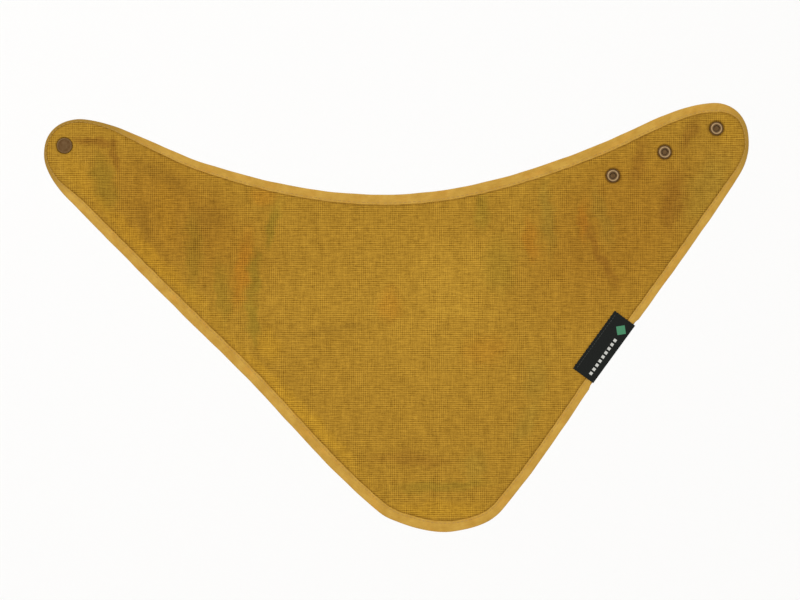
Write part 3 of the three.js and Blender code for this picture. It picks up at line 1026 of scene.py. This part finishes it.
def finish_piece(made, slot, nodes):
    """Gives a piece the material of its slot, and hides the CAD nodes that it stands for."""
    made.data.materials.append(MATERIALS[slot])
    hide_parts(*nodes)


def bend_piece(made):
    """Bakes a piece's placement into its mesh."""
    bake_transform(made)


# ---- The three fabric layers ----

REGION_BODIES = [(JOINTS[fold]["parent"], JOINTS[fold]["child"]) for _, fold in REGIONS]


def add_layer(prefix, nodes, slot, plan, top, bottom):
    for region, (region_name, _) in enumerate(REGIONS):
        made = layer_piece(prefix + "_" + region_name, plan, region, top, bottom)
        finish_piece(made, slot, [nodes + "_" + end for end in bay_names(region)])
        bend_piece(made)


def bay_names(region):
    """The CAD bays that a region covers: a body named root is the bay called center."""
    return ["center" if body == "root" else body for body in REGION_BODIES[region]]


# Where rings of points run: insets from the edge, and radii about each snap.
FINE_INSETS = (1.3, 1.9, 2.5, 3.1, 3.7, 4.3, 4.9, 5.5, 6.1, 6.7, 7.3, 8.0, 8.8, 9.8)
FINE_RADII = (3.3, 4.05, 4.3, 4.55, 4.8, 5.05, 5.4, 6.0, 6.8, 7.8, 9.0)
FINE_SPACING, ROUGH_SPACING = 2.3, 5.0
fine_plan = plan_mesh(FINE_SPACING, FINE_INSETS, FINE_RADII)
rough_plan = plan_mesh(ROUGH_SPACING, (5.0,), (5.0,))
fine_base = base_height(fine_plan.xy)
rough_base = base_height(rough_plan.xy)

front, back = front_surface(fine_plan), back_surface(fine_plan)
core_top, core_bottom = CORE_HIGH + rough_base, CORE_LOW + rough_base
add_layer("velour_front", "front_panel", "velour", fine_plan, front, FRONT_LOW + fine_base)
add_layer("core", "absorbent_core", "core_fabric", rough_plan, core_top, core_bottom)
add_layer("velour_back", "back_panel", "backing_velour", fine_plan, BACK_TOP + fine_base, back)

# ---- The binding ----

# The binding's two skins, from the inner edge of the front leaf over the fold to that of the back leaf:
# share of the width inwards, and height.
OUTER_SKIN = [
    (1.0, 2.42), (0.985, 2.56), (0.95, 2.66), (0.9, 2.7), (0.85, 2.66), (0.81, 2.6), (0.77, 2.66),
    (0.7, 2.74), (0.58, 2.8), (0.44, 2.82), (0.3, 2.78), (0.18, 2.68), (0.09, 2.5), (0.03, 2.22),
    (0.0, 1.85), (0.0, 1.4), (0.03, 1.0), (0.09, 0.7), (0.18, 0.54), (0.3, 0.47), (0.5, 0.45),
    (0.7, 0.47), (0.81, 0.52), (0.9, 0.46), (0.97, 0.5), (1.0, 0.62),
]  # fmt: skip
INNER_SKIN = [
    (1.0, 2.36), (0.985, 2.36), (0.95, 2.36), (0.9, 2.36), (0.85, 2.36), (0.81, 2.36), (0.77, 2.36),
    (0.7, 2.36), (0.58, 2.36), (0.44, 2.36), (0.3, 2.35), (0.2, 2.3), (0.13, 2.2), (0.09, 2.05),
    (0.07, 1.75), (0.07, 1.45), (0.09, 1.15), (0.13, 0.98), (0.2, 0.88), (0.3, 0.84), (0.5, 0.83),
    (0.7, 0.83), (0.81, 0.83), (0.9, 0.83), (0.97, 0.83), (1.0, 0.8),
]  # fmt: skip


def binding_skin(s, skin):
    """One skin of the binding at the distances s along the outline, as a grid of points."""
    point, inward = outline.at(s)
    width = binding_edge(s)
    bulge = 1 + ripple(s, [(71, 0.018), (131, 0.014), (203, 0.012)])
    squeezed = (LABEL_SETBACK + 0.35) * label_share(point, 5)
    middle = (BINDING_LOW + BINDING_HIGH) / 2
    rows = []
    for share, z in skin:
        swell = ripple(s, [(29, 0.07), (53, 0.05), (89, 0.02)]) * (1 - share) ** 2
        inset = share * width - swell + squeezed * (1 - share)
        xy = point + inset[:, None] * inward
        height = middle + (z - middle) * np.where(z > BINDING_HIGH - 0.35, bulge, 1)
        rows.append(np.column_stack([xy, height + base_height(xy)]))
    return np.stack(rows, axis=1)


def crossings(line):
    """Where a line crosses the outline: the distance along it at the neckline, and at the hem."""
    s = np.arange(0, outline.length, 0.25)
    point, _ = outline.at(s)
    side = across_line(line, point) > 0
    found = s[np.nonzero(side != np.roll(side, -1))[0]]
    heights = outline.at(found)[0] @ line.along
    order = np.argsort(-heights)
    return found[order[0]], found[order[-1]]


cut_places = [crossings(cut) for cut in CUTS]
# Stretches of the edge: name, region, and the distances along the outline where each starts and ends.
STRETCHES = [
    ("neck_left", 1, cut_places[1][0], cut_places[0][0]),
    ("tip_left", 0, cut_places[0][0], cut_places[0][1]),
    ("hem_left", 1, cut_places[0][1], cut_places[1][1]),
    ("hem_right", 2, cut_places[1][1], cut_places[2][1]),
    ("tip_right", 3, cut_places[2][1], cut_places[2][0]),
    ("neck_right", 2, cut_places[2][0], cut_places[1][0]),
]


def stretch_span(start, end):
    """How far it is from start on to end, going round the outline."""
    return (end - start) % outline.length


def edge_nodes(prefix, name, region):
    """The CAD nodes of the edge strip that a stretch stands for."""
    bays = bay_names(region)
    if name.startswith("tip"):
        shoulder, tip = bays
        return [f"{prefix}_{tip}", f"{prefix}_neck_{shoulder}", f"{prefix}_hem_{shoulder}"]
    side = name.split("_")[0]
    return [f"{prefix}_{side}_{bay}" for bay in bays]


def add_binding(name, region, start, end):
    span = stretch_span(start, end)
    count = int(span / 1.5) + 2
    s = start + np.linspace(0, span, count)
    skins = [binding_skin(s, skin) for skin in (OUTER_SKIN, INNER_SKIN)]
    across = len(OUTER_SKIN)
    vertices = np.vstack([skin.reshape(-1, 3) for skin in skins])
    made = new_object("binding_" + name, vertices, swept_faces(count, across))
    reach = 0.5
    before = [binding_skin(s - reach, skin) for skin in (OUTER_SKIN, INNER_SKIN)]
    after = [binding_skin(s + reach, skin) for skin in (OUTER_SKIN, INNER_SKIN)]
    normals = []
    for skin, back, ahead, sign in zip(skins, before, after, (1, -1)):
        facing = sign * np.cross(ahead - back, np.gradient(skin, axis=1))
        normals.append((facing / np.linalg.norm(facing, axis=2)[..., None]).reshape(-1, 3))
    set_normals(made, np.vstack(normals)[corners_of(made.data)])
    runs = np.cumsum(np.linalg.norm(np.diff(skins[0], axis=1, prepend=skins[0][:, :1]), axis=2), axis=1)
    flat = np.stack([np.broadcast_to(s[:, None], runs.shape), runs], axis=-1).reshape(-1, 2)
    set_flat_map(made, np.vstack([flat, flat]))
    # Painted shade on the binding where it rolls under.
    set_tone(made, "rolled_edge_shade", np.tile(np.repeat(edge_roll(s), across), 2))
    finish_piece(made, "binding_cotton", edge_nodes("binding", name, region))
    bend_piece(made)


for stretch in STRETCHES:
    add_binding(*stretch)

# ---- Stitches ----


def stitch_arch(t):
    """A stitch's fullness from one end, t = -1, over its middle, t = 0, to the other end, t = 1."""
    return np.sqrt(1 - 0.9 * t**4)


def stitch_points(places, top_height, side):
    """Short rounded stitches at distances along the outline, whose ends dip into the cloth."""
    t = np.linspace(-1, 1, 7)
    turns = np.arange(8) * math.pi / 4
    arch = stitch_arch(t)
    stitches = []
    for place in places:
        s = place + t * STITCH_LENGTH / 2
        point, inward = outline.at(s)
        inset = STITCH_INSET / BINDING_WIDTH * binding_edge(s)
        spine = point + inset[:, None] * inward
        height = top_height + base_height(spine) - side * STITCH_DIP * (1 - arch)
        radius = STITCH_RADIUS * arch[:, None]
        sideways = np.cos(turns) * radius
        xy = spine[:, None, :] + sideways[:, :, None] * inward[:, None, :]
        z = height[:, None] + STITCH_FLATNESS * radius * np.sin(turns)
        stitches.append(np.concatenate([xy, z[:, :, None]], axis=2))
    return closed_tubes(np.array(stitches))


def add_stitches(prefix, name, region, start, end, height, side, skip_label):
    span = stretch_span(start, end)
    first = math.ceil(start / STITCH_PITCH)
    places = np.arange(first, first + int(span / STITCH_PITCH)) * STITCH_PITCH
    places = places[(places - start > 0.2) & (places - start < span)]
    if skip_label:
        point, _ = outline.at(places)
        places = places[label_share(point, 1.0) < 0.01]
    vertices, faces = stitch_points(places, height, side)
    made = new_object(prefix + "_" + name, vertices, faces)
    set_flat_map(made, vertices[:, :2])
    finish_piece(made, "seam_thread", edge_nodes(prefix + "_thread", name, region))
    bend_piece(made)


NEEDLE_HEIGHT, BOBBIN_HEIGHT = 2.68, 0.46
for stretch in STRETCHES:
    add_stitches("needle", *stretch, NEEDLE_HEIGHT, 1, False)
    add_stitches("bobbin", *stretch, BOBBIN_HEIGHT, -1, True)

# ---- Snaps ----


def rounded(profile, size=0.08, steps=3):
    """A turned profile with its inner corners rounded by short arcs."""
    profile = [np.array(p, float) for p in profile]
    result = [profile[0]]
    for before, corner, after in zip(profile, profile[1:], profile[2:]):
        lengths = [np.linalg.norm(before - corner), np.linalg.norm(after - corner)]
        cut = min([size] + [0.45 * length for length in lengths])
        first = corner + (before - corner) / lengths[0] * cut
        last = corner + (after - corner) / lengths[1] * cut
        for t in np.linspace(0, 1, steps + 1):
            result.append((1 - t) ** 2 * first + 2 * t * (1 - t) * corner + t * t * last)
    result.append(profile[-1])
    return result


def turned_mesh(name, profile, closed=False):
    """A turned part about the Z axis, from a profile that runs upwards outside."""
    count = len(profile)
    vertices, faces = [], []
    for i in range(SNAP_SEGMENTS):
        turn = 2 * math.pi * i / SNAP_SEGMENTS
        vertices += [(r * math.cos(turn), r * math.sin(turn), z) for r, z, _ in profile]
    pairs = count if closed else count - 1
    for i in range(SNAP_SEGMENTS):
        here, there = i * count, (i + 1) % SNAP_SEGMENTS * count
        for j in range(pairs):
            k = (j + 1) % count
            faces.append((here + j, there + j, there + k, here + k))
    if not closed:
        faces.append(tuple(i * count for i in range(SNAP_SEGMENTS))[::-1])
        faces.append(tuple(i * count + count - 1 for i in range(SNAP_SEGMENTS)))
    made = new_object(name, vertices, faces)
    # Each point's share of wear and painted highlight, from its profile.
    set_tone(made, "wear_and_highlight", np.tile([wear_and_highlight for _, _, wear_and_highlight in profile], SNAP_SEGMENTS))
    made.data.set_sharp_from_angle(angle=math.radians(40))
    return made


# Radius, height and share of wear and painted highlight at each corner of a turned part.
# The lighter rim of the cap is a painted highlight.
CAP_PROFILE = [
    (0.6, -0.3, 0), (0.6, 2.45, 0), (4.2, 2.45, 0), (CAP_RADIUS, 2.62, 0), (CAP_RADIUS, 2.86, 0.05),
    (4.3, 3.04, 0.12), (4.0, 3.1, 0.06), (3.7, 3.07, 0.02), (3.45, 2.98, 0), (3.2, 2.97, 0),
    (2.4, 3.0, 0.02), (1.2, 3.02, 0.04), (0.2, 3.03, 0.04),
]  # fmt: skip
STUD_PROFILE = [
    (0.9, -STUD_DROP, 0.6), (STUD_END_RADIUS, -STUD_DROP, 0.6), (1.75, -1.1, 0.7), (1.75, -0.9, 0.6),
    (1.2, -0.7, 0.2), (1.2, 0.25, 0.1), (4.0, 0.25, 0.4), (4.2, 0.35, 0.4), (4.2, 0.5, 0.1),
    (4.0, 0.6, 0), (0.9, 0.6, 0),
]  # fmt: skip
# The bright ring on top of the socket's rim is a painted highlight.
SOCKET_PROFILE = [
    (0.9, 1.5, 0), (2.5, 1.5, 0), (2.5, 2.45, 0), (3.85, 2.45, 0), (SOCKET_BASE_RADIUS, 2.52, 0),
    (SOCKET_BASE_RADIUS, 2.62, 0), (3.85, 2.7, 0.0), (3.6, 2.72, 0.0), (3.45, 2.85, 0.0),
    (3.45, 3.1, 0.1), (3.3, 3.28, 0.25), (3.0, 3.35, 0.65), (2.6, 3.3, 0.3), (2.25, 3.2, 0),
    (2.8, 3.2, 0), (2.8, 2.8, 0), (2.25, 2.8, 0), (2.25, 1.9, 0), (0.9, 1.9, 0),
]  # fmt: skip
BACK_CAP_PROFILE = [
    (0.2, 0.03, 0.3), (2.4, 0.04, 0.25), (3.3, 0.07, 0.1), (3.9, 0.0, 0.4), (CAP_RADIUS, 0.2, 0.4),
    (CAP_RADIUS, 0.38, 0.1), (4.3, 0.5, 0), (0.6, 0.5, 0), (0.6, 1.93, 0.2), (1.5, 1.93, 0.2),
    (1.7, 1.98, 0.2), (1.5, 2.03, 0.05), (0.3, 2.05, 0.05),
]  # fmt: skip


def spring_mesh(name):
    """A ring spring of flattened wire, open at one side."""
    opening = math.radians(30)
    turns = np.linspace(opening / 2, 2 * math.pi - opening / 2, 60)[:, None]
    round_wire = -np.arange(8) * math.pi / 4  # clockwise, so that the faces look outwards
    radius = 2.15 + 0.43 * np.cos(round_wire)
    height = 3.0 + 0.1 * np.sin(round_wire)
    rings = [radius * np.cos(turns), radius * np.sin(turns), np.broadcast_to(height, (len(turns), 8))]
    return new_object(name, *closed_tubes(np.stack(rings, axis=-1)[None]))


def seat_snap(made, place, body, slot, node, tilted=False):
    """Puts a snap part, made about the Z axis at the fabric's heights, in its place on the cloth."""
    xy = np.array([place])
    lift = lying_height(xy)[0]
    matrix = Matrix.Translation((place[0] * MM, place[1] * MM, lift * MM))
    if tilted:
        pivot = Vector((*(left_fold.point * MM), 0))
        axis = Vector((*left_fold.along, 0))
        turn = Matrix.Rotation(TIP_TILT, 4, axis)
        matrix = Matrix.Translation(pivot) @ turn @ Matrix.Translation(-pivot) @ matrix
    made.data.transform(matrix)
    finish_piece(made, slot, [node])
    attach(made, body)


cap = turned_mesh("cap_left", rounded(CAP_PROFILE))
seat_snap(cap, STUD_PLACE, "left_tip", "antique_brass", "snap_cap_left_tip", True)
stud = turned_mesh("stud_left", rounded(STUD_PROFILE, 0.06), closed=True)
seat_snap(stud, STUD_PLACE, "left_tip", "antique_brass", "snap_stud_left_tip", True)
for name, place in zip(SOCKET_NAMES, SOCKET_PLACES):
    socket = turned_mesh("socket_" + name, rounded(SOCKET_PROFILE, 0.06), closed=True)
    seat_snap(socket, place, "right_tip", "antique_brass", "snap_socket_" + name)
    seat_snap(spring_mesh("spring_" + name), place, "right_tip", "spring_wire", "snap_spring_" + name)
    back_cap = turned_mesh("back_cap_" + name, rounded(BACK_CAP_PROFILE))
    seat_snap(back_cap, place, "right_tip", "antique_brass", "snap_back_cap_" + name)

# ---- The label ----

# The label's two skins from the inner edge of its front leaf over the fold: inset from the fold, and height.
LABEL_OUTER = [
    (15.0, 3.3), (14.0, 3.36), (12.5, 3.42), (10.0, 3.42), (7.5, 3.4), (5.0, 3.34), (3.0, 3.24),
    (1.6, 3.1), (0.7, 2.86), (0.15, 2.4), (0.0, 1.7), (0.15, 1.0), (0.6, 0.4), (1.4, 0.1), (3.0, 0.02),
    (7.0, 0.0), (11.0, 0.0), (15.0, 0.02),
]  # fmt: skip
LABEL_INNER = [
    (15.0, 3.06), (14.0, 3.1), (12.5, 3.14), (10.0, 3.14), (7.5, 3.12), (5.0, 3.06), (3.1, 2.96),
    (1.8, 2.86), (0.95, 2.68), (0.45, 2.3), (0.3, 1.7), (0.45, 1.1), (0.8, 0.62), (1.5, 0.37),
    (3.0, 0.29), (7.0, 0.27), (11.0, 0.27), (15.0, 0.27),
]  # fmt: skip


def label_skin(u, skin):
    fray = 0.28 * (np.abs((u / 1.3) % 1 - 0.5) * 2 - 0.5) + 0.12 * np.sin(2.3 * u)
    rows = []
    for inset, z in skin:
        at_edge = smooth((inset - 13.5) / 1.5)
        v = inset + LABEL_SETBACK + fray * at_edge
        xy = np.array(LABEL_PLACE) + u[:, None] * LABEL_ALONG + v[:, None] * LABEL_INWARD
        rows.append(np.column_stack([xy, z + base_height(xy)]))
    return np.stack(rows, axis=1)


u = np.linspace(-LABEL_LENGTH / 2, LABEL_LENGTH / 2, 120)
label_skins = [label_skin(u, skin) for skin in (LABEL_OUTER, LABEL_INNER)]
label = new_object(
    "woven_label_fold",
    np.vstack([skin.reshape(-1, 3) for skin in label_skins]),
    [face[::-1] for face in swept_faces(len(u), len(LABEL_OUTER))],
)
label_run = np.concatenate([[0], np.cumsum(np.linalg.norm(np.diff(label_skins[0][0], axis=0), axis=1))])
label_flat = np.stack(np.meshgrid(u, label_run, indexing="ij"), axis=-1).reshape(-1, 2)
set_flat_map(label, np.vstack([label_flat, label_flat]))
label.data.set_sharp_from_angle(angle=math.radians(50))
finish_piece(label, "label_tape", ["woven_label"])
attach(label, "right_shoulder")


LABEL_STITCH_REACH, LABEL_STITCH_PITCH = 18.5, 1.85
LABEL_STITCH_HALF_LENGTH, LABEL_STITCH_HALF_WIDTH, LABEL_STITCH_HALF_HEIGHT = 0.75, 0.16, 0.1
LABEL_STITCH_DIP = 0.12


def label_stitches():
    """A row of small stitches near the label's inner edge."""
    turns = np.arange(6) * math.pi / 3
    row = np.array(LABEL_PLACE) + LABEL_SEAM * LABEL_INWARD
    stitches = []
    for place in np.arange(-LABEL_STITCH_REACH, LABEL_STITCH_REACH + 0.1, LABEL_STITCH_PITCH):
        rings = []
        for t in np.linspace(-1, 1, 5):
            spine = row + (place + LABEL_STITCH_HALF_LENGTH * t) * LABEL_ALONG
            arch = stitch_arch(t)
            xy = spine + (np.cos(turns) * LABEL_STITCH_HALF_WIDTH * arch)[:, None] * LABEL_INWARD
            z = LABEL_TOP + base_height(spine[None])[0] - LABEL_STITCH_DIP * (1 - arch)
            z = z + LABEL_STITCH_HALF_HEIGHT * arch * np.sin(turns)
            rings.append(np.column_stack([xy, z]))
        stitches.append(rings)
    return closed_tubes(np.array(stitches))


vertices, faces = label_stitches()
seam = new_object("label_stitches", vertices, faces)
set_flat_map(seam, vertices[:, :2])
finish_piece(seam, "label_thread", ["label_thread"])
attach(seam, "right_shoulder")

# ---- Floor, light and camera ----

FLOOR_SIZE = 24.0
FLOOR_DEPTH = 1.6  # far enough below the bib to cast no shadow, and to leave room for the folded wings
floor_mesh = bpy.data.meshes.new("floor")
half = FLOOR_SIZE / 2
corners = [(-half, -half, 0), (half, -half, 0), (half, half, 0), (-half, half, 0)]
floor_mesh.from_pydata(corners, [], [(0, 1, 2, 3)])
floor = bpy.data.objects.new("floor", floor_mesh)
floor.location.z = -FLOOR_DEPTH
bpy.context.scene.collection.objects.link(floor)
floor_mesh.materials.append(floor_material("pale_table"))

world = bpy.data.worlds.new("studio")
bpy.context.scene.world = world
world.use_nodes = True
background = world.node_tree.nodes["Background"]
background.inputs["Color"].default_value = (1.0, 0.995, 0.985, 1)
background.inputs["Strength"].default_value = 0.98


def soft_light(name, place, size, power):
    """A square soft box that faces the bib."""
    data = bpy.data.lights.new(name, "AREA")
    data.size = size
    data.energy = power
    lamp = bpy.data.objects.new(name, data)
    lamp.location = place
    lamp.rotation_euler = (-Vector(place)).to_track_quat("-Z", "Y").to_euler()
    bpy.context.scene.collection.objects.link(lamp)


soft_light("key", (-1.1, 1.1, 1.4), 1.4, 12)
soft_light("fill", (1.2, -1.0, 1.5), 1.2, 3)

CAMERA_HEIGHT = 2.0
VIEW_WIDTH = 0.472
VIEW_CENTRE = (0.00207, 0.01033)
SENSOR = 36.0
camera_data = bpy.data.cameras.new("camera")
camera_data.sensor_width = SENSOR
camera_data.lens = SENSOR * (CAMERA_HEIGHT - FRONT_TOP * MM) / VIEW_WIDTH
camera = bpy.data.objects.new("camera", camera_data)
camera.location = (*VIEW_CENTRE, CAMERA_HEIGHT)
bpy.context.scene.collection.objects.link(camera)
bpy.context.scene.camera = camera
bpy.context.scene.view_settings.view_transform = "Standard"
